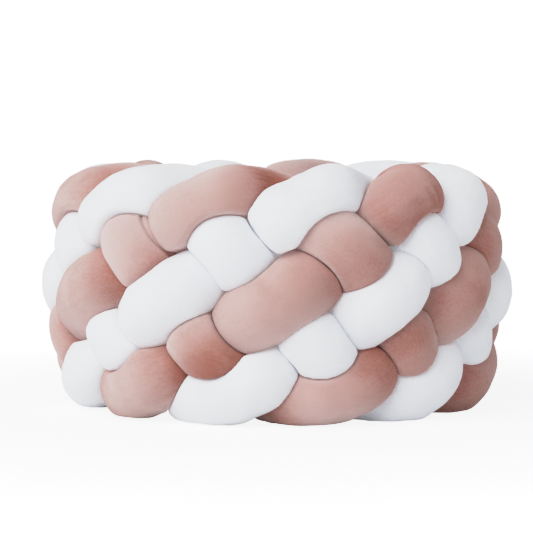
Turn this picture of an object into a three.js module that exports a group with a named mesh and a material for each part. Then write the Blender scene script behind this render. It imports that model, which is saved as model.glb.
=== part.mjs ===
// Braided crib bumper: six stuffed velvet strands plaited into one wide flat band.
// The band stands on its long edge and curves round into a ring, its two ends meeting at the back.
// Millimetres, Z up, the front of the ring towards -Y, the floor at Z = 0.
import * as THREE from 'three';
import { mergeVertices } from 'three/addons/utils/BufferGeometryUtils.js';

const velvet = {
  pink: { color: '#c99c95', roughness: 0.9, metalness: 0 },
  white: { color: '#e8ebee', roughness: 0.9, metalness: 0 },
};

// One row for each strand, in the order of their turns round the ring; girth is its extra thickness
const strands = [
  { name: 'strand_pink_1', cloth: velvet.pink, place: 0, girth: 0.02 },
  { name: 'strand_white_1', cloth: velvet.white, place: 1, girth: 0 },
  { name: 'strand_pink_2', cloth: velvet.pink, place: 2, girth: 0.035 },
  { name: 'strand_white_2', cloth: velvet.white, place: 3, girth: 0.015 },
  { name: 'strand_pink_3', cloth: velvet.pink, place: 4, girth: 0 },
  { name: 'strand_white_3', cloth: velvet.white, place: 5, girth: -0.03 },
];

// Stretches stuffed or pulled unevenly: turn, width and shift are degrees round the ring
const unevenness = [
  { strand: 'strand_pink_1', turn: -27, width: 7, girth: 0, shift: -1.6 },
  { strand: 'strand_pink_1', turn: -12, width: 8, girth: 0.02, shift: -1.5 },
  { strand: 'strand_pink_1', turn: 12, width: 8, girth: 0.03, shift: 2 },
  { strand: 'strand_white_1', turn: -9, width: 8, girth: 0.09, shift: -1.2 },
  { strand: 'strand_pink_2', turn: -12, width: 7, girth: -0.07, shift: -1 },
  { strand: 'strand_pink_2', turn: 20, width: 9, girth: 0.03, shift: 3.8 },
  { strand: 'strand_pink_2', turn: 49, width: 8, girth: -0.06, shift: -2.4 },
  { strand: 'strand_white_2', turn: 66, width: 9, girth: 0, shift: -2.4 },
  { strand: 'strand_pink_3', turn: -16, width: 8, girth: 0, shift: -1.2 },
  { strand: 'strand_white_3', turn: -15, width: 8, girth: 0.03, shift: -2 },
  { strand: 'strand_white_3', turn: 22, width: 9, girth: -0.04, shift: 1 },
];

// Stuffed tube: sizes before the strands press on each other
const tubeRadius = 37;
const capDepth = 24;
const leastSwell = 0.96;
const mostSwell = 1.14;
const swellRounds = 4;
const sideCount = 12;
const stepCount = 112;
const capSteps = 3;

// Ring: a circle through the middle of the band, the plait closer at the front and its lower rows slipped
const ringRadius = 224;
const centreShift = new THREE.Vector2(0.26, 3.72);
const pitchCount = 12;
const frontTightening = 0.065;
const frontOffset = 0.004;
const slipTurn = 0.036;
const slipLeft = 0.07;
const slipTop = 0.3;
const slipFade = 4;
const endSpace = 5;

// Band: how high the strands swing, how the plait leans (radians) and how the wall bellies out
const bandReach = 112;
const reachRounding = -0.035;
const leanPerHeight = 0.00107;
const leanBow = -0.034;
const barrel = 12;
const taper = 0.015;
const floorSink = 4;

// Plait: the side of the band a strand passes at each crossing, and how much firmer it is packed there
const crossings = [
  { phase: -30, side: -1, firm: 0.013 },
  { phase: 30, side: 1, firm: -0.013 },
  { phase: 56, side: -1, firm: -0.03 },
  { phase: 90, side: 1, firm: 0.15 },
  { phase: 124, side: -1, firm: -0.017 },
  { phase: 150, side: 1, firm: -0.095 },
  { phase: 210, side: -1, firm: 0.02 },
  { phase: 238, side: 1, firm: 0.11 },
  { phase: 270, side: -1, firm: -0.08 },
  { phase: 298.5, side: 1, firm: 0 },
  { phase: 330, side: -1, firm: 0.013 },
  { phase: 390, side: 1, firm: -0.013 },
];
const frontPhase = 90;
const depth = 28;
const depthHold = 0.5;
const climbOut = 2.5;
const climbOutThird = 3;

// Pressing: how strands share the room where they meet
const clearance = 3.6;
const shoulder = 7;
const pressReach = 96;
const samplesPerStrand = 600;
const nearestOwn = 2;
const farAway = 1000;

const fullTurn = 2 * Math.PI;
const fullPhase = 360;
const thirdWave = 3;
const triangleCorners = 3;
const pathDivisions = 1600;
const tiny = 1e-6;
const pitchAngle = fullTurn / pitchCount;
const phasePerPitch = fullPhase / strands.length;
const lastTurn = Math.PI - endSpace / ringRadius;
const midHeight = bandReach * (1 - reachRounding) + tubeRadius - floorSink;

// How far to the front (1) or back (-1) of the band a strand is at a phase of its plait, and how firm
function crossingAt(phase) {
  const wrapped = THREE.MathUtils.euclideanModulo(phase, fullPhase);
  const next = crossings.findIndex((crossing) => crossing.phase > wrapped);
  const from = crossings[next - 1];
  const to = crossings[next];
  const way = (wrapped - from.phase) / (to.phase - from.phase);
  const held = way - depthHold * Math.sin(fullTurn * way) / fullTurn;
  const share = (1 - Math.cos(Math.PI * held)) / 2;
  return {
    side: THREE.MathUtils.lerp(from.side, to.side, share),
    firm: THREE.MathUtils.lerp(from.firm, to.firm, share),
  };
}

// Middle line of one strand, end to end
class StrandPath extends THREE.Curve {
  constructor(strand) {
    super();
    this.place = strand.place;
    this.girth = strand.girth;
    this.uneven = unevenness.filter((stretch) => stretch.strand === strand.name);
    this.arcLengthDivisions = pathDivisions;
  }

  turnAt(t) {
    return THREE.MathUtils.lerp(-lastTurn, lastTurn, t);
  }

  phaseAt(t) {
    return frontPhase + phasePerPitch * (this.turnAt(t) / pitchAngle + this.place);
  }

  // Height above (1) or below (-1) the middle of the band
  shareAt(t) {
    const swing = THREE.MathUtils.degToRad(this.phaseAt(t));
    return reachRounding * Math.cos(thirdWave * swing) - Math.cos(swing);
  }

  // Sum of the girth or shift of the uneven stretches near a spot
  unevenAt(t, column) {
    const degrees = THREE.MathUtils.radToDeg(this.turnAt(t));
    return this.uneven.reduce((sum, stretch) => {
      const away = (degrees - stretch.turn) / stretch.width;
      return sum + stretch[column] * Math.exp(-away * away);
    }, 0);
  }

  getPoint(t, target = new THREE.Vector3()) {
    const swing = THREE.MathUtils.degToRad(this.phaseAt(t));
    const share = this.shareAt(t);
    const level = bandReach * share;
    const plait = depth * crossingAt(this.phaseAt(t)).side
      + climbOut * Math.sin(swing) - climbOutThird * Math.sin(thirdWave * swing);
    const radius = ringRadius + plait - barrel * share * share + taper * level;
    const even = this.turnAt(t);
    const lowness = (1 - Math.tanh(slipFade * (share - slipTop))) / 2;
    const slip = lowness * (slipTurn * Math.sin(even) - slipLeft * (1 - Math.cos(even)));
    const turn = even - frontTightening * Math.sin(even) + slip + frontOffset
      + leanPerHeight * level + leanBow * share * share
      + THREE.MathUtils.degToRad(this.unevenAt(t, 'shift'));
    return target.set(
      radius * Math.sin(turn) + centreShift.x,
      -radius * Math.cos(turn) + centreShift.y,
      level + midHeight,
    );
  }

  girthAt(t) {
    return tubeRadius * (1 + this.girth + this.unevenAt(t, 'girth'));
  }

  // A firmer stretch of strand takes more of the room at a contact
  firmnessAt(t) {
    return this.girthAt(t) * (1 + crossingAt(this.phaseAt(t)).firm);
  }

  sample() {
    const spots = [];
    for (let i = 0; i <= samplesPerStrand; i += 1) {
      const along = i / samplesPerStrand;
      const firm = this.firmnessAt(this.getUtoTmapping(along));
      spots.push({ along, firm, point: this.getPointAt(along) });
    }
    return spots;
  }
}

function smoothLeast(a, b, width) {
  const share = THREE.MathUtils.clamp((1 + (b - a) / width) / 2, 0, 1);
  return b * (1 - share) + a * share - width * share * (1 - share);
}

// Cross-section of a strand: its frame, and how far it bulges each way between its neighbours
function pressedSection(path, own, others, along) {
  const centre = path.getPointAt(along);
  const tangent = path.getTangentAt(along);
  const girth = path.girthAt(path.getUtoTmapping(along));
  const firm = path.firmnessAt(path.getUtoTmapping(along));
  const outward = new THREE.Vector3(centre.x - centreShift.x, centre.y - centreShift.y, 0);
  outward.addScaledVector(tangent, -outward.dot(tangent)).normalize();
  const across = new THREE.Vector3().crossVectors(tangent, outward);
  const near = (spot) => spot.point.distanceTo(centre) < pressReach;
  const sameEnd = (spot) => Math.abs(spot.along - along) < 1 / 2;
  const pushing = others.concat(own.filter((spot) => !sameEnd(spot))).filter(near);
  const bending = own.filter((spot) => sameEnd(spot) && near(spot)
    && spot.point.distanceTo(centre) > nearestOwn);
  const rays = [];
  for (let i = 0; i < sideCount; i += 1) {
    const angle = (i + 1 / 2) * fullTurn / sideCount;
    const ray = outward.clone().multiplyScalar(Math.cos(angle)).addScaledVector(across, Math.sin(angle));
    let limit = farAway;
    pushing.forEach((spot) => {
      const gap = spot.point.clone().sub(centre);
      const even = gap.lengthSq();
      const favour = THREE.MathUtils.clamp(firm * firm - spot.firm * spot.firm, -even / 2, even / 2);
      const room = even + favour - clearance * gap.length();
      const facing = gap.dot(ray);
      if (facing > tiny) limit = Math.min(limit, room / (2 * facing));
    });
    bending.forEach((spot) => {
      const gap = spot.point.clone().sub(centre);
      const facing = gap.dot(ray);
      if (facing > tiny) limit = Math.min(limit, gap.lengthSq() / (2 * facing));
    });
    rays.push({ ray, limit });
  }
  // The stuffing keeps its volume: a strand squeezed one way swells the other way
  let swollen = girth;
  for (let round = 0; round < swellRounds; round += 1) {
    const squares = rays.map(({ limit }) => smoothLeast(swollen, limit, shoulder) ** 2);
    const mean = squares.reduce((sum, square) => sum + square, 0) / sideCount;
    const wanted = swollen * girth / Math.sqrt(mean);
    swollen = THREE.MathUtils.clamp(wanted, leastSwell * girth, mostSwell * girth);
  }
  const points = rays.map(({ ray, limit }) => {
    const bulge = smoothLeast(swollen, limit, shoulder);
    const floorLimit = ray.z < -tiny ? centre.z / -ray.z : farAway;
    return ray.clone().multiplyScalar(Math.min(bulge, floorLimit));
  });
  return { centre, points };
}

// Welds the capsule's seam and poles and drops the triangles that close up to a line
function closedSkin(geometry) {
  const welded = mergeVertices(geometry);
  const indices = Array.from(welded.getIndex().array);
  const kept = [];
  for (let i = 0; i < indices.length; i += triangleCorners) {
    const face = indices.slice(i, i + triangleCorners);
    if (new Set(face).size === triangleCorners) kept.push(...face);
  }
  welded.setIndex(kept);
  welded.computeVertexNormals();
  return welded;
}

// A capsule laid along the strand's path, each of its rows fitted to the pressed cross-section there
function strandGeometry(path, own, others) {
  const length = path.getLength();
  const straight = length - 2 * capDepth;
  const capsule = new THREE.CapsuleGeometry(tubeRadius, straight, capSteps, sideCount, stepCount);
  capsule.deleteAttribute('normal');
  capsule.deleteAttribute('uv');
  const position = capsule.getAttribute('position');
  const perRow = sideCount + 1;
  for (let row = 0; row < position.count / perRow; row += 1) {
    const place = position.getY(row * perRow);
    const beyond = Math.max(Math.abs(place) - straight / 2, 0);
    const drawnIn = place - Math.sign(place) * beyond * (1 - capDepth / tubeRadius);
    const along = THREE.MathUtils.clamp(drawnIn / length + 1 / 2, 0, 1);
    const section = pressedSection(path, own, others, along);
    for (let side = 0; side < perRow; side += 1) {
      const index = row * perRow + side;
      const fill = Math.hypot(position.getX(index), position.getZ(index)) / tubeRadius;
      const spot = section.points[side % sideCount].clone().multiplyScalar(fill).add(section.centre);
      position.setXYZ(index, spot.x, spot.y, spot.z);
    }
  }
  return closedSkin(capsule);
}

const bumper = new THREE.Group();
bumper.name = 'braided_crib_bumper';
const paths = strands.map((strand) => new StrandPath(strand));
const spots = paths.map((path) => path.sample());
strands.forEach((strand, index) => {
  const others = spots.filter((_, other) => other !== index).flat();
  const geometry = strandGeometry(paths[index], spots[index], others);
  const mesh = new THREE.Mesh(geometry, new THREE.MeshStandardMaterial(strand.cloth));
  mesh.name = strand.name;
  bumper.add(mesh);
});

export default bumper;
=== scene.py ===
import math

import bpy
import numpy as np
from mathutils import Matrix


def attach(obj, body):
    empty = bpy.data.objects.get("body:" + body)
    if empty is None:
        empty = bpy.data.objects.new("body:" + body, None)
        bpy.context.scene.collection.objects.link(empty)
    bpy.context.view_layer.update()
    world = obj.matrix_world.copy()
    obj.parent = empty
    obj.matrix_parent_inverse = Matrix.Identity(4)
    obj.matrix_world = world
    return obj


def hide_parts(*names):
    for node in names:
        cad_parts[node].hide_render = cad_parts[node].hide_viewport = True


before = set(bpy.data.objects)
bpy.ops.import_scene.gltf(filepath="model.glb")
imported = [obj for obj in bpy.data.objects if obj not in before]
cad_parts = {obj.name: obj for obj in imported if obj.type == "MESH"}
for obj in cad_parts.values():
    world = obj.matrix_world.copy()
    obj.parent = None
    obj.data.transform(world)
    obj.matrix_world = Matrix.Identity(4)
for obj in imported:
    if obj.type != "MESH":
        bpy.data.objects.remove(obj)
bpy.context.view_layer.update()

print("frame loaded:", len(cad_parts), "nodes")

# Middle lines of the plait, in metres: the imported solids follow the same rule
plait = {
    "ringRadius": 0.224,
    "ringCentre": (0.00026, 0.00372),
    "pitchCount": 12,
    "frontTightening": 0.065,
    "slipTurn": 0.036,
    "slipLeft": 0.07,
    "slipTop": 0.3,
    "slipFade": 4,
    "frontOffset": 0.004,
    "endSpace": 0.005,
    "bandReach": 0.112,
    "reachRounding": -0.035,
    "leanPerMetre": 1.07,
    "leanBow": -0.034,
    "barrel": 0.012,
    "taper": 0.015,
    "floorSink": 0.004,
    "depth": 0.028,
    "depthHold": 0.5,
    "climbOut": 0.0025,
    "climbOutThird": 0.003,
    "frontPhase": 90,
    "phaseStep": 60,
}

# Crossings of a strand: phase of its swing, side of the band it passes, how much firmer it is packed
crossings = [
    (-30, -1, 0.013), (30, 1, -0.013), (56, -1, -0.03), (90, 1, 0.15),
    (124, -1, -0.017), (150, 1, -0.095), (210, -1, 0.02), (238, 1, 0.11),
    (270, -1, -0.08), (298.5, 1, 0.0), (330, -1, 0.013), (390, 1, -0.013),
]

# One stuffed tube, and how it gives way to its neighbours
tube = {
    "radius": 0.037,
    "capDepth": 0.024,
    "leastSwell": 0.96,
    "mostSwell": 1.14,
    "swellRounds": 5,
    "clearance": 0.0003,
    "shoulder": 0.0025,
    "bridge": 0.0025,
    "bridgeReach": 0.007,
    "floorShoulder": 0.003,
    "pressReach": 0.096,
    "nearestOwn": 0.002,
    "farAway": 1.0,
    "leastFacing": 1e-7,
    "bodyRings": 760,
    "frontRings": 0.24,
    "capRings": 10,
    "sides": 88,
    "pathSteps": 8001,
    "pathSpots": 700,
    "evenSwell": 6,
    "evenSkin": 1,
}

# Strands in the order their turns follow each other; a seam keeps to its side, in radians from outward
strands = [
    {"name": "strand_pink_1", "cloth": "pink", "place": 0, "girth": 0.02, "seam": 3.0, "seed": 11},
    {"name": "strand_white_1", "cloth": "white", "place": 1, "girth": 0.0, "seam": 3.2, "seed": 12},
    {"name": "strand_pink_2", "cloth": "pink", "place": 2, "girth": 0.035, "seam": 3.3, "seed": 13},
    {"name": "strand_white_2", "cloth": "white", "place": 3, "girth": 0.015, "seam": 2.9, "seed": 14},
    {"name": "strand_pink_3", "cloth": "pink", "place": 4, "girth": 0.0, "seam": 3.1, "seed": 15},
    {"name": "strand_white_3", "cloth": "white", "place": 5, "girth": -0.03, "seam": 3.3, "seed": 16},
]

# Uneven stretches of strand: where and how wide in degrees of turn, share of girth, shift in degrees
unevenness = [
    ("strand_pink_2", 20, 9, 0.03, 3.8),
    ("strand_white_3", 22, 9, -0.04, 1.0),
    ("strand_pink_1", 12, 8, 0.03, 2.0),
    ("strand_pink_1", -12, 8, 0.02, -1.5),
    ("strand_white_1", -9, 8, 0.09, -1.2),
    ("strand_pink_2", -12, 7, -0.07, -1.0),
    ("strand_pink_2", 49, 8, -0.06, -2.4),
    ("strand_white_2", 66, 9, 0, -2.4),
    ("strand_pink_1", -27, 7, 0, -1.6),
    ("strand_white_3", -15, 8, 0.03, -2.0),
    ("strand_pink_3", -16, 8, 0, -1.2),
]

# Where a seam rolls round to the outside: middle and width in degrees of turn, roll in radians
seamRolls = [
    ("strand_pink_3", -44, 20, 2.12),
    ("strand_pink_1", -106, 20, 2.3),
    ("strand_pink_2", 120, 22, -2.4),
    ("strand_white_1", -136, 20, 2.2),
    ("strand_white_2", 164, 20, -2.3),
    ("strand_white_3", 134, 20, 2.4),
]

# Folds: turn and ray angle in degrees, half length and half width, direction in degrees, depth
folds = [
    ("strand_pink_2", -15.2, -58, 0.012, 0.0022, 6, 0.0016),
    ("strand_pink_2", -15.0, -47, 0.012, 0.0021, 0, 0.0015),
    ("strand_pink_2", -15.2, -37, 0.010, 0.0020, -7, 0.0012),
    ("strand_pink_3", -83, 13, 0.011, 0.0024, 10, 0.0014),
    ("strand_pink_1", 35, -8, 0.010, 0.0026, 4, 0.0013),
    ("strand_pink_1", 36.6, -12, 0.012, 0.0022, 84, 0.0016),
    ("strand_pink_1", 38.6, -10, 0.012, 0.0022, 88, 0.0014),
    ("strand_pink_3", 86.4, -16, 0.009, 0.0024, 80, 0.0012),
    ("strand_pink_3", 96, -76, 0.055, 0.024, 0, 0.0048),
    ("strand_pink_2", 80.6, -34, 0.006, 0.0022, 60, 0.0011),
    ("strand_pink_2", 81.6, -28, 0.006, 0.0022, 60, 0.0009),
]

# Patches of nap painted lighter or darker into the colour and sheen, as painted sheen and painted shade:
# middle and width in degrees of turn, and how far
paintedNapPatches = [
    ("strand_pink_3", -46, 9, 0.3),
    ("strand_pink_3", -41, 4, -0.25),
    ("strand_pink_3", -20, 4, 0.25),
    ("strand_pink_3", -12, 4, -0.8),
    ("strand_pink_3", 17, 4, -0.6),
    ("strand_pink_3", 26, 5, 0.55),
    ("strand_pink_3", 34, 6, -0.5),
    ("strand_pink_3", 58, 5, -0.2),
    ("strand_pink_3", 86, 5, 0.6),
    ("strand_pink_2", -52, 3.5, -0.85),
    ("strand_pink_2", -22, 5, 0.45),
    ("strand_pink_2", -13, 4, -0.3),
    ("strand_pink_2", 14, 9, 0.35),
    ("strand_pink_2", 41, 5, -0.5),
    ("strand_pink_2", 79, 6, -0.5),
    ("strand_pink_2", 48, 3, 0.4),
    ("strand_pink_2", 88, 4, 0.35),
    ("strand_pink_1", -24, 5, -0.65),
    ("strand_pink_1", 5, 5, 0.4),
    ("strand_pink_1", 36, 8, -0.15),
    ("strand_pink_1", 69, 4, -0.7),
    ("strand_pink_1", -72, 5, -0.2),
]

pitchAngle = 2 * math.pi / plait["pitchCount"]
lastTurn = math.pi - plait["endSpace"] / plait["ringRadius"]
midHeight = plait["bandReach"] * (1 - plait["reachRounding"]) + tube["radius"] - plait["floorSink"]


def crossingAt(phase):
    starts, sides, firms = np.array(crossings, float).T
    wrapped = np.mod(phase, 360)
    after = np.searchsorted(starts, wrapped, side="right")
    way = (wrapped - starts[after - 1]) / (starts[after] - starts[after - 1])
    held = way - plait["depthHold"] * np.sin(2 * np.pi * way) / (2 * np.pi)
    share = (1 - np.cos(np.pi * held)) / 2
    side = sides[after - 1] + (sides[after] - sides[after - 1]) * share
    return side, firms[after - 1] + (firms[after] - firms[after - 1]) * share


def phaseAt(strand, even):
    return plait["frontPhase"] + plait["phaseStep"] * (even / pitchAngle + strand["place"])


def middleLine(strand, even):
    phase = phaseAt(strand, even)
    swing = np.radians(phase)
    share = plait["reachRounding"] * np.cos(3 * swing) - np.cos(swing)
    level = plait["bandReach"] * share
    side, firm = crossingAt(phase)
    radius = plait["ringRadius"] + plait["depth"] * side - plait["barrel"] * share ** 2
    radius = radius + plait["taper"] * level
    radius = radius + plait["climbOut"] * np.sin(swing) - plait["climbOutThird"] * np.sin(3 * swing)
    slip = plait["slipTurn"] * np.sin(even) - plait["slipLeft"] * (1 - np.cos(even))
    slip = slip * (1 - np.tanh(plait["slipFade"] * (share - plait["slipTop"]))) / 2
    turn = even - plait["frontTightening"] * np.sin(even) + slip
    turn = turn + plait["frontOffset"] + plait["leanPerMetre"] * level + plait["leanBow"] * share ** 2
    girth = np.full(len(even), 1 + strand["girth"])
    for name, where, wide, more, shift in unevenness:
        if name == strand["name"]:
            bump = np.exp(-((np.degrees(even) - where) / wide) ** 2)
            girth = girth + more * bump
            turn = turn + np.radians(shift) * bump
    girth = girth * tube["radius"]
    centre = plait["ringCentre"]
    places = [radius * np.sin(turn) + centre[0], centre[1] - radius * np.cos(turn), level + midHeight]
    return np.stack(places, 1), girth, girth * (1 + firm)


# A strand's path measured along its length, so its rings and stitches can be spaced evenly
def measuredPath(strand):
    even = np.linspace(-lastTurn, lastTurn, tube["pathSteps"])
    points, girth, firm = middleLine(strand, even)
    steps = np.linalg.norm(np.diff(points, axis=0), axis=1)
    along = np.concatenate([[0], np.cumsum(steps)])
    tangent = np.gradient(points, along, axis=0)
    bend = np.gradient(tangent, along, axis=0)
    return {"even": even, "along": along, "points": points, "girth": girth, "firm": firm,
            "tangent": tangent, "bend": bend, "length": along[-1]}


def pick(path, key, along):
    values = path[key]
    if values.ndim == 1:
        return np.interp(along, path["along"], values)
    return np.stack([np.interp(along, path["along"], values[:, k]) for k in range(values.shape[1])], 1)


def unit(vectors):
    return vectors / np.linalg.norm(vectors, axis=-1, keepdims=True)


def smoothLeast(a, b, width):
    share = np.clip((1 + (b - a) / width) / 2, 0, 1)
    return b * (1 - share) + a * share - width * share * (1 - share)


# Rings along a strand: finest at the front, closing to a point at each end
def ringStations(length):
    capAngles = np.arange(1, tube["capRings"] + 1) / (tube["capRings"] + 1) * np.pi / 2
    capAlong = tube["capDepth"] * (1 - np.cos(capAngles))
    share = np.linspace(0, 1, tube["bodyRings"])
    share = share + tube["frontRings"] * np.sin(2 * np.pi * share) / (2 * np.pi)
    body = tube["capDepth"] + (length - 2 * tube["capDepth"]) * share
    along = np.concatenate([capAlong, body, (length - capAlong)[::-1]])
    fill = np.concatenate([np.sin(capAngles), np.ones(tube["bodyRings"]), np.sin(capAngles)[::-1]])
    return along, fill


# How far a strand may bulge each way before it meets a neighbour, itself or the floor
def roomAround(path, own, others, along, rays, centres, firms):
    meeting = np.full(rays.shape[:2], tube["farAway"])
    limit = np.full(rays.shape[:2], tube["farAway"])
    alike = np.zeros(rays.shape[:2])
    reach = tube["pressReach"] ** 2
    for i in range(len(along)):
        sameEnd = np.abs(own["along"] - along[i]) < path["length"] / 2
        pushing = np.concatenate([others["points"], own["points"][~sameEnd]])
        pushFirm = np.concatenate([others["firm"], own["firm"][~sameEnd]])
        pushCloth = np.concatenate([others["cloth"], own["cloth"][~sameEnd]])
        gap = pushing - centres[i]
        even = np.einsum("ij,ij->i", gap, gap)
        near = even < reach
        gap, even = gap[near], even[near]
        favour = np.clip(firms[i] ** 2 - pushFirm[near] ** 2, -even / 2, even / 2)
        room = even + favour - tube["clearance"] * np.sqrt(even)
        facing = np.maximum(gap @ rays[i].T, tube["leastFacing"])
        if len(gap):
            planes = room[:, None] / (2 * facing)
            meeting[i] = np.minimum(meeting[i], planes.min(0))
            alike[i] = pushCloth[near][planes.argmin(0)] == own["cloth"][0]
        gap = own["points"][sameEnd] - centres[i]
        even = np.einsum("ij,ij->i", gap, gap)
        near = (even < reach) & (even > tube["nearestOwn"] ** 2)
        gap, even = gap[near], even[near]
        facing = np.maximum(gap @ rays[i].T, tube["leastFacing"])
        limit[i] = np.minimum(limit[i], (even[:, None] / (2 * facing)).min(0))
    down = np.maximum(-rays[:, :, 2], tube["leastFacing"])
    floorLimit = centres[:, 2][:, None] / down
    return np.minimum(limit, meeting), meeting, alike, floorLimit


def softened(values, rounds):
    for _ in range(rounds):
        ahead = np.vstack([values[1:], values[-1:]])
        behind = np.vstack([values[:1], values[:-1]])
        values = (ahead + behind + 2 * values) / 4
        values = (np.roll(values, 1, 1) + np.roll(values, -1, 1) + 2 * values) / 4
    return values


# Uneven filling and loose velvet: how many waves, their lengths in metres, turns round the strand, height
waves = {
    "lumps": (14, (0.06, 0.17), (-2, 2), 0.0007),
    "clumps": (24, (0.018, 0.05), (-6, 6), 0.00022),
    "wrinkleDrift": (6, (0.03, 0.09), (-3, 3), 0.22),
    "wrinkleShare": (8, (0.02, 0.06), (-3, 3), 0.35),
    "pleats": (5, (0.08, 0.2), (14, 22), 0.5),
}


def fillingWaves(strand, along, angles, kind):
    count, lengths, turns, height = waves[kind]
    random = np.random.default_rng(strand["seed"] + 100 * list(waves).index(kind))
    total = np.zeros(angles.shape)
    for _ in range(count):
        length = random.uniform(*lengths)
        turn = random.integers(turns[0], turns[1] + 1)
        shift = random.uniform(0, 2 * np.pi)
        total += np.cos(2 * np.pi * along[:, None] / length + turn * angles + shift)
    return total * height / math.sqrt(count / 2)


# How the velvet lies over the filling, heights in metres
cloth = {
    "wrinkleHeight": 0.0013,
    "wrinkleLength": 0.0105,
    "wrinkleBend": (0.35, 1.1),
    "wrinkleSharpness": 1.6,
    "pleatHeight": 0.0002,
    "mostSpare": 0.12,
    "fullSpare": 0.35,
    "foldRidge": 0.35,
    "seamDepth": 0.003,
    "seamWidth": 0.0018,
    "seamRidge": 0.0007,
    "ridgeAway": 0.004,
    "ridgeWidth": 0.0022,
    "seamPucker": 0.00012,
    "puckerLength": 0.006,
    "seamCrowd": 0.3,
    "seamSway": 0.25,
    "seamSwayLength": 0.7,
    "gather": 0.0012,
    "gatherPleats": 16,
    # Painted shade where a strand goes under its neighbour
    "tuckFrom": 0.95,
    "tuckTo": 0.0,
    "comingOut": 0.35,
    "facingSharpness": 1.5,
    # How far the listed patches may paint the velvet lighter, as painted sheen
    "mostPaintedSheen": -0.5,
    "evenTuckShade": 4,
    "evenAlike": 2,
    # Relief painted into the colour: wear on ridges, painted shade in hollows
    "wearAndShadeHeight": 0.0012,
    # Reach of the glow painted into the creases where strands press together, and how much of it stays
    # between like cloths
    "creaseLightReach": 0.003,
    "creaseLightAlike": 0.4,
}


def smoothStep(low, high, value):
    way = np.clip((value - low) / (high - low), 0, 1)
    return way * way * (3 - 2 * way)


def bumpAt(path, along, where, wide):
    return np.exp(-((np.degrees(pick(path, "even", along)) - where) / wide) ** 2)


def seamAngle(strand, path, along):
    sway = cloth["seamSway"] * np.sin(2 * np.pi * along / cloth["seamSwayLength"] + strand["seed"])
    angle = strand["seam"] + sway
    for name, where, wide, roll in seamRolls:
        if name == strand["name"]:
            angle = angle + (roll - sway) * bumpAt(path, along, where, wide)
    return angle


# A fold sinks along its line and stands up a little on both sides of it
def foldRelief(strand, path, along, angles, radius):
    relief = np.zeros(angles.shape)
    even = np.degrees(path["even"])
    for name, turn, angle, halfLength, halfWidth, direction, depth in folds:
        if name != strand["name"]:
            continue
        ahead = (along - np.interp(turn, even, path["along"]))[:, None]
        beside = np.remainder(angles - np.radians(angle) + np.pi, 2 * np.pi) - np.pi
        beside = beside * radius
        lean = np.radians(direction)
        run = ahead * np.cos(lean) + beside * np.sin(lean)
        off = beside * np.cos(lean) - ahead * np.sin(lean)
        fade = np.exp(-(run / halfLength) ** 4)
        relief -= depth * fade * np.exp(-(off / halfWidth) ** 2)
        beyond = (np.abs(off) - 2 * halfWidth) / halfWidth
        relief += cloth["foldRidge"] * depth * fade * np.exp(-beyond ** 2)
    return relief


def clothRelief(strand, base):
    path, along, angles, rays, radius = (base[key] for key in ("path", "along", "angles", "rays", "radius"))
    relief = fillingWaves(strand, along, angles, "lumps")
    relief += fillingWaves(strand, along, angles, "clumps")
    bend = pick(path, "bend", along)
    squeeze = np.einsum("ik,ijk->ij", bend, rays) * radius
    drift = fillingWaves(strand, along, angles, "wrinkleDrift")
    strength = 0.5 + fillingWaves(strand, along, angles, "wrinkleShare")
    ridge = 0.5 + 0.5 * np.cos(2 * np.pi * (along[:, None] / cloth["wrinkleLength"] + drift))
    inner = smoothStep(*cloth["wrinkleBend"], squeeze) * np.clip(strength, 0, 1)
    relief -= cloth["wrinkleHeight"] * inner * (1 - ridge) ** cloth["wrinkleSharpness"]
    skin = rays * radius[..., None]
    girth = np.linalg.norm(np.roll(skin, -1, 1) - skin, axis=2).sum(1)
    spare = np.sqrt(np.clip(1 - girth / (2 * np.pi * tube["radius"]), 0, cloth["mostSpare"]))
    fold = fillingWaves(strand, along, angles, "pleats")
    relief += cloth["pleatHeight"] * (spare / cloth["fullSpare"])[:, None] * np.clip(fold, -1, 1)
    lying = base["lying"][None, :]
    away = np.abs(lying) * tube["radius"]
    pucker = cloth["seamPucker"] * np.cos(2 * np.pi * along / cloth["puckerLength"])[:, None]
    relief += (pucker - cloth["seamDepth"]) * np.exp(-(away / cloth["seamWidth"]) ** 2)
    relief += cloth["seamRidge"] * np.exp(-((away - cloth["ridgeAway"]) / cloth["ridgeWidth"]) ** 2)
    relief += foldRelief(strand, path, along, angles, radius)
    closing = np.clip(1 - base["fill"], 0, 1)[:, None]
    relief += cloth["gather"] * closing * np.cos(cloth["gatherPleats"] * lying)
    return relief


# How far a strand has gone under its neighbour, from its side of the band; this share is painted into the
# velvet as shade
def tuckShadeShare(side):
    return smoothStep(-cloth["tuckFrom"], -cloth["tuckTo"], -side)


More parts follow.
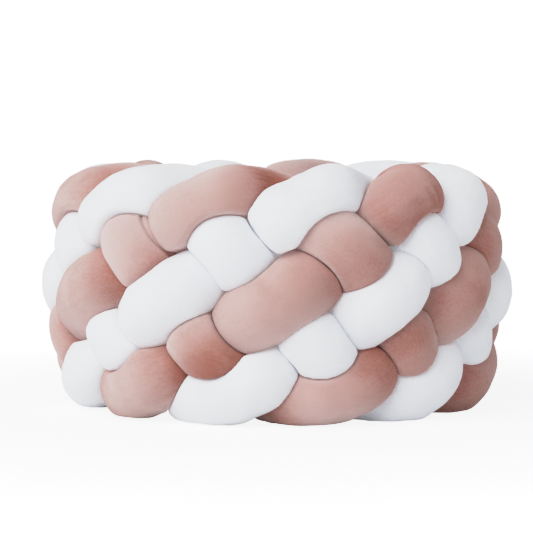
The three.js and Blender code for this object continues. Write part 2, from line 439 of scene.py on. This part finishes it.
def pressStrand(strand, paths, spots):
    path = paths[strand["name"]]
    own = spots[strand["name"]]
    rest = [spots[name] for name in spots if name != strand["name"]]
    others = {key: np.concatenate([spot[key] for spot in rest]) for key in ("points", "firm", "cloth")}
    along, fill = ringStations(path["length"])
    centres = pick(path, "points", along)
    firms = pick(path, "firm", along)
    girth = pick(path, "girth", along)[:, None]
    tangent = unit(pick(path, "tangent", along))
    outward = centres - np.array([plait["ringCentre"][0], plait["ringCentre"][1], 0])
    outward[:, 2] = 0
    outward = unit(outward - tangent * np.einsum("ij,ij->i", outward, tangent)[:, None])
    across = np.cross(tangent, outward)
    seam = seamAngle(strand, path, along)
    share = 2 * np.pi * np.arange(tube["sides"]) / tube["sides"]
    lying = share - cloth["seamCrowd"] * np.sin(share)
    weight = 1 - cloth["seamCrowd"] * np.cos(share)
    lying = np.where(lying > np.pi, lying - 2 * np.pi, lying)
    angles = seam[:, None] + lying[None, :]
    rays = np.cos(angles)[..., None] * outward[:, None, :] + np.sin(angles)[..., None] * across[:, None, :]
    limit, meeting, alike, floorLimit = roomAround(path, own, others, along, rays, centres, firms)
    swollen = girth
    for _ in range(tube["swellRounds"]):
        bulge = smoothLeast(swollen, limit, tube["shoulder"])
        mean = np.sqrt((bulge ** 2 * weight).mean(1, keepdims=True))
        swollen = np.clip(swollen * girth / mean, tube["leastSwell"] * girth, tube["mostSwell"] * girth)
    swollen = softened(swollen, tube["evenSwell"])
    filling = tube["bridge"] * np.exp(-np.clip(meeting - swollen, 0, None) / tube["bridgeReach"])
    radius = smoothLeast(swollen + filling, limit, tube["shoulder"])
    radius = smoothLeast(radius, floorLimit, tube["floorShoulder"])
    room = np.minimum(limit, floorLimit)
    radius = np.minimum(softened(radius, tube["evenSkin"]), room)
    ends = pick(path, "points", np.array([0, path["length"]]))
    return {"path": path, "along": along, "fill": fill, "centres": centres, "tangent": tangent,
            "lying": lying, "angles": angles, "rays": rays, "radius": radius, "room": room,
            "meeting": meeting, "alike": alike, "ends": ends}


# The skin over a strand's rings, closed to a point at each end
def skinFaces(rings, sides):
    first, last = rings * sides, rings * sides + 1
    ring = np.arange(rings - 1)[:, None] * sides
    side = np.arange(sides)[None, :]
    after = (side + 1) % sides
    quads = np.stack([ring + side, ring + after, ring + sides + after, ring + sides + side], -1)
    loop = np.arange(sides)
    startFan = np.stack([np.full(sides, first), (loop + 1) % sides, loop], 1)
    base = (rings - 1) * sides
    endFan = np.stack([np.full(sides, last), base + loop, base + (loop + 1) % sides], 1)
    return quads.reshape(-1, 4).tolist() + startFan.tolist() + endFan.tolist()


# The cover starts slack and is blown out by its filling; only the uneven part of its movement is kept
settling = {
    "step": 2,
    "slack": 0.003,
    "pressure": 4,
    "frames": 20,
    "quality": 5,
    "cap": 0.006,
    "evenRounds": 40,
}


# Values of every second ring and side, spread to all of them
def finer(values):
    between = (values + np.roll(values, -1, 1)) / 2
    values = np.stack([values, between], 2).reshape(len(values), -1)
    between = np.vstack([(values[1:] + values[:-1]) / 2, values[-1:]])
    return np.stack([values, between], 1).reshape(-1, values.shape[1])


def settleCovers(bases):
    scene = bpy.context.scene
    some = slice(None, None, settling["step"])
    covers = {}
    for name, base in bases.items():
        reach = (base["radius"] - settling["slack"]) * base["fill"][:, None]
        points = (base["centres"][:, None, :] + base["rays"] * reach[..., None])[some, some]
        rings, sides = points.shape[:2]
        mesh = bpy.data.meshes.new(name + "_cover")
        vertices = np.concatenate([points.reshape(-1, 3), base["ends"]])
        mesh.from_pydata(vertices.tolist(), [], skinFaces(rings, sides))
        cover = bpy.data.objects.new(mesh.name, mesh)
        scene.collection.objects.link(cover)
        settle = cover.modifiers.new("settle", "CLOTH")
        settle.settings.quality = settling["quality"]
        settle.settings.use_pressure = True
        settle.settings.uniform_pressure_force = settling["pressure"]
        settle.settings.effector_weights.gravity = 0
        settle.collision_settings.use_collision = False
        settle.point_cache.frame_end = settling["frames"]
        covers[name] = (cover, points)
    for moment in range(1, settling["frames"] + 1):
        scene.frame_set(moment)
    moved = {}
    for name, (cover, points) in covers.items():
        count = points.shape[0] * points.shape[1]
        mesh = cover.evaluated_get(bpy.context.evaluated_depsgraph_get()).to_mesh()
        settled = np.empty(len(mesh.vertices) * 3, np.float32)
        mesh.vertices.foreach_get("co", settled)
        shift = settled.reshape(-1, 3)[:count].reshape(points.shape) - points
        out = np.einsum("ijk,ijk->ij", shift, bases[name]["rays"][some, some])
        out = finer(np.clip(out, -settling["cap"], settling["cap"]))
        moved[name] = out - softened(out, settling["evenRounds"])
        print("cover settled:", name, "moved up to", round(1000 * float(np.abs(moved[name]).max()), 1), "mm")
        bpy.data.objects.remove(cover)
    scene.frame_set(1)
    return moved


def dressStrand(strand, base, settled):
    path, along, angles, radius = (base[key] for key in ("path", "along", "angles", "radius"))
    relief = settled + clothRelief(strand, base)
    phase = phaseAt(strand, pick(path, "even", along))
    side = crossingAt(phase)[0]
    leaving = np.sign(crossingAt(phase + 1)[0] - side)  # whether the strand goes inward or comes out again
    # Painted shade: where the strand goes under its neighbour, on the side facing the crossing, its colour is
    # darkened and its sheen lowered as if in shadow
    facing = np.clip(cloth["facingSharpness"] * np.cos(angles), -1, 1)
    outerShare = tuckShadeShare(side) * np.where(leaving < 0, 1, cloth["comingOut"])
    innerShare = tuckShadeShare(-side) * np.where(leaving > 0, 1, cloth["comingOut"])
    paintedTuckShade = np.clip(facing, 0, 1) * outerShare[:, None]
    paintedTuckShade += np.clip(-facing, 0, 1) * innerShare[:, None]
    # The listed patches paint lighter spots, as painted sheen, or darker ones, as painted shade, into the
    # same mask
    for name, where, wide, more in paintedNapPatches:
        if name == strand["name"]:
            paintedTuckShade = paintedTuckShade - more * (bumpAt(path, along, where, wide)[:, None] * np.clip(facing, 0, 1))
    final = np.minimum(radius + relief, base["room"])
    # Painted light: the skin glows where it presses on a neighbour, lifting the shade in the crease, less
    # where both cloths are alike
    paintedCreaseLight = np.exp(-np.clip(base["meeting"] - final, 0, None) / cloth["creaseLightReach"])
    paintedCreaseLight = paintedCreaseLight * (1 - (1 - cloth["creaseLightAlike"]) * softened(base["alike"], cloth["evenAlike"]))
    points = base["centres"][:, None, :] + base["rays"] * (final * base["fill"][:, None])[..., None]
    paintedTuckShade = softened(np.clip(paintedTuckShade, cloth["mostPaintedSheen"], 1), cloth["evenTuckShade"])
    # The relief is painted into the colour: raised cloth lighter as wear, sunken folds, seams and wrinkles
    # darker as painted shade
    return {"points": points, "ends": base["ends"], "along": along, "lying": base["lying"],
            "tangent": base["tangent"], "seamRow": points[:, 0],
            "wearAndHollowShade": np.clip(relief / cloth["wearAndShadeHeight"], -1, 1), "paintedTuckShade": paintedTuckShade, "paintedCreaseLight": paintedCreaseLight}


def corners(*places):
    return np.stack([np.stack(place, 1) for place in places], 1)


# Rings of points to one closed skin, with a map laid out in metres along and around the strand
def strandMesh(name, shape):
    rings, sides = shape["points"].shape[:2]
    vertices = np.concatenate([shape["points"].reshape(-1, 3), shape["ends"]])
    faces = skinFaces(rings, sides)
    mesh = bpy.data.meshes.new(name)
    mesh.from_pydata(vertices.tolist(), [], faces)
    mesh.polygons.foreach_set("use_smooth", np.ones(len(faces), dtype=bool))
    around = np.sort(np.mod(shape["lying"], 2 * np.pi)) * tube["radius"]
    around = np.append(around, 2 * np.pi * tube["radius"])
    along = shape["along"]
    before, beyond = np.repeat(along[:-1], sides), np.repeat(along[1:], sides)
    low, high = np.tile(around[:-1], rings - 1), np.tile(around[1:], rings - 1)
    quadUv = corners((before, low), (before, high), (beyond, high), (beyond, low))
    mid = (around[:-1] + around[1:]) / 2
    starting, ending = np.full(sides, along[0]), np.full(sides, along[-1])
    startUv = corners((np.zeros(sides), mid), (starting, around[1:]), (starting, around[:-1]))
    endUv = corners((ending + along[0], mid), (ending, around[:-1]), (ending, around[1:]))
    uv = np.concatenate([quadUv.reshape(-1, 2), startUv.reshape(-1, 2), endUv.reshape(-1, 2)])
    mesh.uv_layers.new(name="clothMap").data.foreach_set("uv", uv.astype(np.float32).ravel())
    # Masks for the colour: wear with painted shade from the relief, painted shade of tucks, painted light in
    # the creases
    for label in ("wearAndHollowShade", "paintedTuckShade", "paintedCreaseLight"):
        kept = mesh.attributes.new(label, "FLOAT", "POINT")
        kept.data.foreach_set("value", np.append(shape[label].ravel(), [0, 0]).astype(np.float32))
    way = np.concatenate([np.repeat(shape["tangent"], sides, 0), shape["tangent"][[0, -1]]])
    kept = mesh.attributes.new("pileWay", "FLOAT_VECTOR", "POINT")
    kept.data.foreach_set("vector", way.astype(np.float32).ravel())
    mesh.validate()
    mesh.update()
    return mesh


# Two velvets; colours are linear
velvets = {
    "pink": {
        "slot": "pink_velvet",
        # deep and dark are the tones that the painted shade of tucks and hollows pulls the colour towards
        "deep": (0.25, 0.08, 0.057, 1),
        "dark": (0.315, 0.135, 0.11, 1),
        "base": (0.357, 0.182, 0.16, 1),
        "light": (0.385, 0.203, 0.181, 1),
        "flecks": 0.16,
        "grain": 0.0009,
        "napLean": 0.2,
        "combed": 1.2,
        "brushMarks": 0.05,
        "sheen": (0.04, 0.41),
        "sheenRoughness": 0.88,
        "sheenTint": (1.0, 0.95, 0.94, 1),
        "through": 0.3,
        "throughDepth": (1.0, 0.45, 0.35),
        # A glow painted into the creases where strands press together, its strength and colour
        "creaseLightStrength": 0.2,
        "creaseLightColour": (0.33, 0.13, 0.105, 1),
        "thread": (0.20, 0.08, 0.065, 1),
    },
    "white": {
        "slot": "white_velvet",
        # deep and dark are the tones that the painted shade of tucks and hollows pulls the colour towards
        "deep": (0.72, 0.755, 0.825, 1),
        "dark": (0.765, 0.805, 0.885, 1),
        "base": (0.80, 0.842, 0.922, 1),
        "light": (0.83, 0.872, 0.945, 1),
        "flecks": 0.16,
        "grain": 0.0006,
        "napLean": 0.0,
        "combed": 0.5,
        "brushMarks": 0.06,
        "sheen": (0.2, 0.5),
        "sheenRoughness": 0.5,
        "sheenTint": (1.0, 1.0, 1.0, 1),
        "through": 0.3,
        "throughDepth": (1.0, 1.0, 1.0),
        # A glow painted into the creases where strands press together, its strength and colour
        "creaseLightStrength": 0.24,
        "creaseLightColour": (1.0, 0.985, 0.98, 1),
        "thread": (0.62, 0.64, 0.68, 1),
    },
}

# What both velvets share; a pattern is its scale, detail and roughness
nap = {
    "strokeStretch": (80, 100, 1),
    "strokes": (1, 5, 0.62),
    "strokeTwist": 0.6,
    "strokeShare": 0.22,
    "strokeDepth": 0.00025,
    "patches": (14, 3, 0.5),
    "pile": (430, 4, 0.7),
    "pileSpan": (0.3, 0.7),
    # Relief painted into the colour: wear on ridges, painted shade in hollows
    "wearAndShadeShare": 0.16,
    # The painted shade of a tuck darkens the colour by this share
    "tuckShadeShare": -0.5,
    "shades": {"deep": 0.045, "dark": 0.365, "base": 0.595, "light": 0.745},
    "dullness": (0.95, 0.78),
    "specular": 0.15,
    "throughScale": 0.012,
    "chalkSpan": (0, 0.75),
    "markSpan": (0.35, 0.65),
    # The painted shade of a tuck also takes sheen away by this share
    "tuckShadeChalk": -0.9,
}


def addNode(tree, kind, **values):
    node = tree.nodes.new(kind)
    for name, value in values.items():
        setattr(node, name, value)
    return node


# Each value is another node's output, to be linked, or a constant
def feed(tree, node, values):
    for label, value in values.items():
        if isinstance(value, bpy.types.NodeSocket):
            tree.links.new(value, node.inputs[label])
        else:
            node.inputs[label].default_value = value


def noise(tree, place, pattern, twist=0):
    node = addNode(tree, "ShaderNodeTexNoise")
    scale, detail, roughness = pattern
    feed(tree, node, {"Vector": place, "Scale": scale, "Detail": detail, "Roughness": roughness,
                      "Distortion": twist})
    return node.outputs["Fac"]


def reckon(tree, operation, *values):
    node = addNode(tree, "ShaderNodeMath", operation=operation)
    feed(tree, node, dict(enumerate(values)))
    return node.outputs["Value"]


def spread(tree, value, span, reach, way="LINEAR"):
    node = addNode(tree, "ShaderNodeMapRange", interpolation_type=way)
    feed(tree, node, {"Value": value, "From Min": span[0], "From Max": span[1],
                      "To Min": reach[0], "To Max": reach[1]})
    return node.outputs["Result"]


def noted(tree, label):
    return addNode(tree, "ShaderNodeAttribute", attribute_name=label).outputs["Fac"]


# The pile leans along its strand, so the velvet takes light as if turned that way
def leaningNormal(tree, lean):
    pileWay = addNode(tree, "ShaderNodeAttribute", attribute_name="pileWay")
    surface = addNode(tree, "ShaderNodeNewGeometry")
    leaned = addNode(tree, "ShaderNodeVectorMath", operation="MULTIPLY_ADD")
    feed(tree, leaned, {0: pileWay.outputs["Vector"], 1: (-lean,) * 3, 2: surface.outputs["Normal"]})
    ahead = addNode(tree, "ShaderNodeVectorMath", operation="NORMALIZE")
    feed(tree, ahead, {0: leaned.outputs["Vector"]})
    return ahead.outputs["Vector"]


def raised(tree, height, depth, normal):
    bump = addNode(tree, "ShaderNodeBump")
    feed(tree, bump, {"Strength": 1, "Distance": depth, "Height": height, "Normal": normal})
    return bump.outputs["Normal"]


def velvetMaterial(name, look):
    material = bpy.data.materials.new(name)
    material.use_nodes = True
    material.cycles.emission_sampling = "NONE"
    tree = material.node_tree
    shader = tree.nodes["Principled BSDF"]
    place = addNode(tree, "ShaderNodeTexCoord").outputs
    stretched = addNode(tree, "ShaderNodeMapping")
    feed(tree, stretched, {"Vector": place["UV"], "Scale": nap["strokeStretch"]})
    strokes = noise(tree, stretched.outputs["Vector"], nap["strokes"], nap["strokeTwist"])
    patches = noise(tree, place["Object"], nap["patches"])
    pile = noise(tree, place["UV"], nap["pile"])
    paintedTuckShade = noted(tree, "paintedTuckShade")
    # Colour: strokes of a hand over the patches, single tufts, ridges lighter with wear and hollows darker as
    # painted shade, and painted shade where the strand tucks under its neighbour
    flecks = spread(tree, pile, nap["pileSpan"], (-look["flecks"], look["flecks"]))
    shade = reckon(tree, "MULTIPLY_ADD", strokes, nap["strokeShare"], patches)
    shade = reckon(tree, "ADD", flecks, shade)
    shade = reckon(tree, "MULTIPLY_ADD", noted(tree, "wearAndHollowShade"), nap["wearAndShadeShare"], shade)
    shade = reckon(tree, "MULTIPLY_ADD", paintedTuckShade, nap["tuckShadeShare"], shade)
    ramp = addNode(tree, "ShaderNodeValToRGB")
    stops = ramp.color_ramp.elements
    for tone, position in nap["shades"].items():
        stops.new(position).color = look[tone]
    stops.remove(stops[0])
    stops.remove(stops[len(stops) - 1])
    feed(tree, ramp, {"Fac": shade})
    # Sheen: the combed pile shows its sides or its tips
    turned = addNode(tree, "ShaderNodeLayerWeight")
    feed(tree, turned, {"Blend": 0.5, "Normal": leaningNormal(tree, look["combed"])})
    chalk = spread(tree, turned.outputs["Facing"], nap["chalkSpan"], look["sheen"], "SMOOTHSTEP")
    marks = spread(tree, strokes, nap["markSpan"], (1 - look["brushMarks"], 1 + look["brushMarks"]))
    # Less sheen where the painted shade of a tuck lies
    upright = reckon(tree, "MULTIPLY_ADD", paintedTuckShade, nap["tuckShadeChalk"], marks)
    brushedPile = raised(tree, strokes, nap["strokeDepth"], leaningNormal(tree, look["napLean"]))
    feed(tree, shader, {
        "Base Color": ramp.outputs["Color"],
        "Roughness": spread(tree, strokes, (0, 1), nap["dullness"]),
        "Normal": raised(tree, pile, look["grain"], brushedPile),
        "Specular IOR Level": nap["specular"],
        "Subsurface Weight": look["through"],
        "Subsurface Radius": look["throughDepth"],
        "Subsurface Scale": nap["throughScale"],
        "Sheen Weight": reckon(tree, "MULTIPLY", chalk, upright),
        "Sheen Roughness": look["sheenRoughness"],
        "Sheen Tint": look["sheenTint"],
        # Painted light: the creases where strands press together glow
        "Emission Color": look["creaseLightColour"],
        "Emission Strength": reckon(tree, "MULTIPLY", noted(tree, "paintedCreaseLight"), look["creaseLightStrength"]),
    })
    return material


# Stitches along a seam: one short thread at each step of the line
stitching = {
    "spacing": 0.0042,
    "length": 0.0032,
    "thickness": 0.0007,
    "segments": 6,
    "rings": 4,
    "unsewnRings": 4,
    "roughness": 0.6,
    "sheen": 0.3,
    "twistScale": 900,
    "twistDark": 0.72,
}


def threadMaterial(name, look):
    material = bpy.data.materials.new(name)
    material.use_nodes = True
    tree = material.node_tree
    shader = tree.nodes["Principled BSDF"]
    place = addNode(tree, "ShaderNodeTexCoord").outputs
    twist = addNode(tree, "ShaderNodeTexWave", wave_type="BANDS", bands_direction="DIAGONAL")
    feed(tree, twist, {"Vector": place["Object"], "Scale": stitching["twistScale"]})
    ramp = addNode(tree, "ShaderNodeValToRGB")
    stops = ramp.color_ramp.elements
    stops[0].color = tuple(part * stitching["twistDark"] for part in look["thread"][:3]) + (1,)
    stops[1].color = look["thread"]
    feed(tree, ramp, {"Fac": twist.outputs["Fac"]})
    feed(tree, shader, {
        "Base Color": ramp.outputs["Color"],
        "Roughness": stitching["roughness"],
        "Sheen Weight": stitching["sheen"],
    })
    return material


def stitchTree():
    tree = bpy.data.node_groups.new("seamStitches", "GeometryNodeTree")
    face = tree.interface
    face.new_socket("Geometry", in_out="INPUT", socket_type="NodeSocketGeometry")
    for label in ("Spacing", "Length", "Thickness"):
        face.new_socket(label, in_out="INPUT", socket_type="NodeSocketFloat")
    face.new_socket("Thread", in_out="INPUT", socket_type="NodeSocketMaterial")
    face.new_socket("Geometry", in_out="OUTPUT", socket_type="NodeSocketGeometry")
    given = addNode(tree, "NodeGroupInput").outputs
    line = addNode(tree, "GeometryNodeMeshToCurve")
    feed(tree, line, {"Mesh": given["Geometry"]})
    steps = addNode(tree, "GeometryNodeCurveToPoints", mode="LENGTH")
    feed(tree, steps, {"Curve": line.outputs["Curve"], "Length": given["Spacing"]})
    bead = addNode(tree, "GeometryNodeMeshUVSphere")  # one metre across, then drawn out to a thread
    feed(tree, bead, {"Segments": stitching["segments"], "Rings": stitching["rings"], "Radius": 0.5})
    sized = addNode(tree, "ShaderNodeCombineXYZ")
    feed(tree, sized, {"X": given["Thickness"], "Y": given["Thickness"], "Z": given["Length"]})
    placed = addNode(tree, "GeometryNodeInstanceOnPoints")
    feed(tree, placed, {"Points": steps.outputs["Points"], "Rotation": steps.outputs["Rotation"],
                        "Instance": bead.outputs["Mesh"], "Scale": sized.outputs["Vector"]})
    real = addNode(tree, "GeometryNodeRealizeInstances")
    feed(tree, real, {"Geometry": placed.outputs["Instances"]})
    smooth = addNode(tree, "GeometryNodeSetShadeSmooth")
    feed(tree, smooth, {"Geometry": real.outputs["Geometry"]})
    coloured = addNode(tree, "GeometryNodeSetMaterial")
    feed(tree, coloured, {"Geometry": smooth.outputs["Geometry"], "Material": given["Thread"]})
    feed(tree, addNode(tree, "NodeGroupOutput"), {"Geometry": coloured.outputs["Geometry"]})
    return tree


def socketName(tree, label):
    return next(item.identifier for item in tree.interface.items_tree
                if item.item_type == "SOCKET" and item.in_out == "INPUT" and item.name == label)


def sewSeam(name, row, tree, thread):
    line = bpy.data.meshes.new(name + "_line")
    line.from_pydata(row.tolist(), [(i, i + 1) for i in range(len(row) - 1)], [])
    holder = bpy.data.objects.new(name + "_line", line)
    bpy.context.scene.collection.objects.link(holder)
    modifier = holder.modifiers.new("stitches", "NODES")
    modifier.node_group = tree
    for label in ("Spacing", "Length", "Thickness"):
        modifier[socketName(tree, label)] = stitching[label.lower()]
    modifier[socketName(tree, "Thread")] = thread
    evaluated = holder.evaluated_get(bpy.context.evaluated_depsgraph_get())
    mesh = bpy.data.meshes.new_from_object(evaluated)
    mesh.name = name
    holder.modifiers.remove(modifier)
    bpy.data.objects.remove(holder)
    piece = bpy.data.objects.new(name, mesh)
    bpy.context.scene.collection.objects.link(piece)
    return piece


paths = {strand["name"]: measuredPath(strand) for strand in strands}
spots = {}
for name, path in paths.items():
    steps = np.linspace(0, path["length"], tube["pathSpots"])
    spots[name] = {"along": steps, "points": pick(path, "points", steps), "firm": pick(path, "firm", steps)}
    spots[name]["cloth"] = np.full(len(steps), float("pink" in name))
velvetLooks = {kind: velvetMaterial(kind + "Velvet", look) for kind, look in velvets.items()}
threadLooks = {kind: threadMaterial(kind + "Thread", look) for kind, look in velvets.items()}
seamTree = stitchTree()
bases = {strand["name"]: pressStrand(strand, paths, spots) for strand in strands}
print("strands pressed together")
settled = settleCovers(bases)
for strand in strands:
    shape = dressStrand(strand, bases[strand["name"]], settled[strand["name"]])
    mesh = strandMesh(strand["name"] + "_velvet", shape)
    mesh.materials.append(velvetLooks[strand["cloth"]])
    piece = bpy.data.objects.new(mesh.name, mesh)
    bpy.context.scene.collection.objects.link(piece)
    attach(piece, "root")
    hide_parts(strand["name"])
    sewn = shape["seamRow"][stitching["unsewnRings"]:-stitching["unsewnRings"]]
    stitches = sewSeam(strand["name"] + "_stitches", sewn, seamTree, threadLooks[strand["cloth"]])
    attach(stitches, "root")
    print("strand made:", strand["name"], len(mesh.vertices), "points")

# Plain pale floor and soft studio light
studio = {
    "floorSize": 40,
    "floorColour": (0.85, 0.85, 0.85, 1),
    "floorRoughness": 0.9,
    "floorGlow": 0.05,
    "floorFade": (0.34, 1.1),
    "floorNear": 0.7,
    "white": (1, 1, 1, 1),
    "worldLight": 0.7,
    "worldSeen": 3.2,
    "keyStrength": 4.0,
    "keySpread": 60,
    "keyTurn": (54, 0, -46),
    "tones": [(0.25, 0.25), (0.45, 0.42), (0.7, 0.60), (1.0, 0.725), (1.4, 0.80), (2.0, 0.865)],
    "toneWhite": 3,
    "cameraPlace": (-0.0115, -2.831, 0.345),
    "cameraPitch": 3.46,
    "lens": 149.8,
    "sensor": 36,
}


# The floor runs out into the white of the room
def floorMaterial():
    material = bpy.data.materials.new("paleFloor")
    material.use_nodes = True
    tree = material.node_tree
    pale = tree.nodes["Principled BSDF"]
    feed(tree, pale, {
        "Base Color": studio["floorColour"],
        "Roughness": studio["floorRoughness"],
        "Emission Color": studio["white"],
        "Emission Strength": studio["floorGlow"],
    })
    place = addNode(tree, "ShaderNodeTexCoord").outputs
    away = addNode(tree, "ShaderNodeVectorMath", operation="LENGTH")
    feed(tree, away, {0: place["Object"]})
    fade = spread(tree, away.outputs["Value"], studio["floorFade"], (studio["floorNear"], 1), "SMOOTHSTEP")
    ray = addNode(tree, "ShaderNodeLightPath").outputs
    glow = addNode(tree, "ShaderNodeEmission")
    feed(tree, glow, {"Strength": studio["worldSeen"]})
    both = addNode(tree, "ShaderNodeMixShader")
    feed(tree, both, {0: reckon(tree, "MULTIPLY", fade, ray["Is Camera Ray"]),
                      1: pale.outputs["BSDF"], 2: glow.outputs["Emission"]})
    feed(tree, tree.nodes["Material Output"], {"Surface": both.outputs["Shader"]})
    return material


def layFloor():
    half = studio["floorSize"] / 2
    mesh = bpy.data.meshes.new("floor")
    mesh.from_pydata([(-half, -half, 0), (half, -half, 0), (half, half, 0), (-half, half, 0)],
                     [], [(0, 1, 2, 3)])
    mesh.materials.append(floorMaterial())
    floor = bpy.data.objects.new("floor", mesh)
    bpy.context.scene.collection.objects.link(floor)


def lightRoom():
    world = bpy.data.worlds.new("studioWorld")
    bpy.context.scene.world = world
    world.use_nodes = True
    tree = world.node_tree
    tree.nodes.clear()
    light = addNode(tree, "ShaderNodeBackground")
    feed(tree, light, {"Color": studio["white"], "Strength": studio["worldLight"]})
    seen = addNode(tree, "ShaderNodeBackground")
    feed(tree, seen, {"Color": studio["white"], "Strength": studio["worldSeen"]})
    ray = addNode(tree, "ShaderNodeLightPath").outputs
    both = addNode(tree, "ShaderNodeMixShader")
    feed(tree, both, {0: ray["Is Camera Ray"], 1: light.outputs["Background"], 2: seen.outputs["Background"]})
    feed(tree, addNode(tree, "ShaderNodeOutputWorld"), {"Surface": both.outputs["Shader"]})
    key = bpy.data.lights.new("key", "SUN")
    key.energy = studio["keyStrength"]
    key.angle = math.radians(studio["keySpread"])
    lamp = bpy.data.objects.new("key", key)
    lamp.rotation_euler = [math.radians(turn) for turn in studio["keyTurn"]]
    bpy.context.scene.collection.objects.link(lamp)


def setCamera():
    camera = bpy.data.objects.new("camera", bpy.data.cameras.new("camera"))
    camera.data.lens = studio["lens"]
    camera.data.sensor_width = studio["sensor"]
    camera.location = studio["cameraPlace"]
    camera.rotation_euler = (math.radians(90 - studio["cameraPitch"]), 0, 0)
    bpy.context.scene.collection.objects.link(camera)
    bpy.context.scene.camera = camera
    view = bpy.context.scene.view_settings
    view.view_transform = "Standard"
    view.use_curve_mapping = True
    tones = view.curve_mapping
    tones.white_level = [studio["toneWhite"]] * 3
    for light, shown in studio["tones"]:
        tones.curves[3].points.new(light / studio["toneWhite"], shown)
    tones.update()


layFloor()
lightRoom()
setCamera()
print("studio ready")
